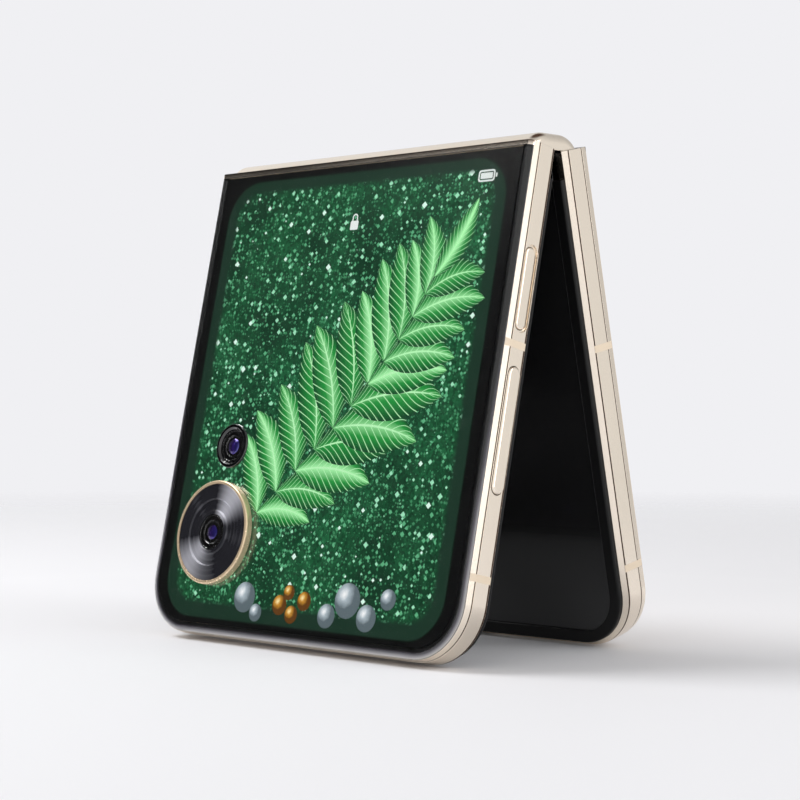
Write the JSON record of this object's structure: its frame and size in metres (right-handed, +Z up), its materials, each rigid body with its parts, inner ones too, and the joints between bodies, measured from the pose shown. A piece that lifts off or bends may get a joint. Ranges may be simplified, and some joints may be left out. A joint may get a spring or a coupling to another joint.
{
  "type": "foldable smartphone",
  "caption": "Clamshell smartphone with a folding display, standing half open like a tent, with a round spine, cover display and camera ring.",
  "frame": {"origin": "middle of the bounding box, on the surface that the two free ends stand on", "axes": "+Z up, from the free ends to the spine; X along the hinge with the keys on the +X side; -Y towards the half with the cover display and cameras, +Y towards the half with the charging port"},
  "size_m": [0.0758, 0.0492, 0.0844],
  "materials": {
    "champagne": "satin champagne",
    "steel": "plain",
    "brass": "machined",
    "screws": "blackened",
    "folding_display": "smooth film",
    "bezel": "soft satin black",
    "cover_glass": "polished",
    "cover_display": "lit green pattern",
    "back_glass": "matt champagne glass",
    "graphite": "graphite sheet",
    "ring": "polished champagne",
    "lens_disc": "dark turned",
    "lens": "coated lens",
    "module": "black",
    "board": "solder mask",
    "battery": "pouch",
    "flex": "polyimide",
    "antenna": "filled plastic",
    "card": "card"
  },
  "bodies": {
    "spine": {"spine_cover": "champagne", "hinge_base_left": "steel", "hinge_base_right": "steel", "hinge_pins": "steel", "detent_sliders": "brass", "detent_springs": "steel", "fold_film": "folding_display", "hinge_flex": "flex"},
    "front_gears": {"timing_gear_front_left": "brass", "timing_gear_front_right": "brass"},
    "rear_gears": {"timing_gear_rear_left": "brass", "timing_gear_rear_right": "brass"},
    "front_half": {"front_frame": "champagne", "front_hinge_arm_left": "steel", "front_hinge_arm_right": "steel", "front_arm_screws": "screws", "cover_glass": "cover_glass", "cover_display": "cover_display", "front_inner_display": "folding_display", "front_support_plate": "steel", "front_bezel": "bezel", "camera_ring": "ring", "camera_disc": "lens_disc", "main_lens_glass": "lens", "main_camera_module": "module", "wide_lens_trim": "lens_disc", "wide_lens_glass": "lens", "wide_camera_module": "module", "selfie_camera": "module", "earpiece": "module", "mainboard": "board", "shield_cans": "steel", "front_battery": "battery", "front_flex_cables": "flex", "front_antenna_breaks": "antenna", "front_board_screws": "screws", "front_magnets": "steel"},
    "power_key": {"power_key": "champagne"},
    "volume_key": {"volume_key": "champagne"},
    "rear_half": {"rear_frame": "champagne", "rear_hinge_arm_left": "steel", "rear_hinge_arm_right": "steel", "rear_arm_screws": "screws", "back_cover": "back_glass", "heat_spreader": "graphite", "rear_inner_display": "folding_display", "rear_support_plate": "steel", "rear_bezel": "bezel", "rear_battery": "battery", "sub_board": "board", "usb_port": "steel", "loudspeaker": "module", "vibration_motor": "steel", "card_reader": "steel", "rear_antenna_breaks": "antenna", "rear_board_screws": "screws", "rear_magnets": "steel"},
    "card_tray": {"card_tray": "champagne", "sim_card": "card"}
  },
  "joints": [
    {"name": "front_fold", "type": "hinge", "parent": "spine", "child": "front_half", "pos_m": [0, -0.00193, 0.0798], "axis": [-1, 0, 0], "range_deg": [-12.4, 77.6], "deforming": ["fold_film", "hinge_flex"]},
    {"name": "rear_fold", "type": "hinge", "parent": "spine", "child": "rear_half", "pos_m": [0, 0.00193, 0.0798], "axis": [1, 0, 0], "range_deg": [-12.4, 77.6], "deforming": ["fold_film", "hinge_flex"]},
    {"name": "front_gear_spin", "type": "hinge", "parent": "spine", "child": "front_gears", "pos_m": [0, -0.0009, 0.08251], "axis": [1, 0, 0], "range_deg": [-27.61, 172.49]},
    {"name": "rear_gear_spin", "type": "hinge", "parent": "spine", "child": "rear_gears", "pos_m": [0, 0.0009, 0.08251], "axis": [-1, 0, 0], "range_deg": [-27.61, 172.49]},
    {"name": "power_press", "type": "slide", "parent": "front_half", "child": "power_key", "axis": [-1, 0, 0], "range_m": [0, 0.00025], "stiffness_N_per_m": 2500, "springref_m": -0.0001},
    {"name": "volume_rock", "type": "hinge", "parent": "front_half", "child": "volume_key", "pos_m": [0.03575, -0.01324, 0.0368], "axis": [0, -0.9767, 0.2147], "range_deg": [-1.2, 1.2], "stiffness_Nm_per_rad": 0.3},
    {"name": "tray_slide", "type": "slide", "parent": "rear_half", "child": "card_tray", "axis": [-1, 0, 0], "range_m": [0, 0.0195]}
  ],
  "couplings": [
    {"joint": "rear_fold", "follows": "front_fold", "ratio": 1},
    {"joint": "front_gear_spin", "follows": "front_fold", "ratio": 2.2222},
    {"joint": "rear_gear_spin", "follows": "front_fold", "ratio": 2.2222}
  ]
}
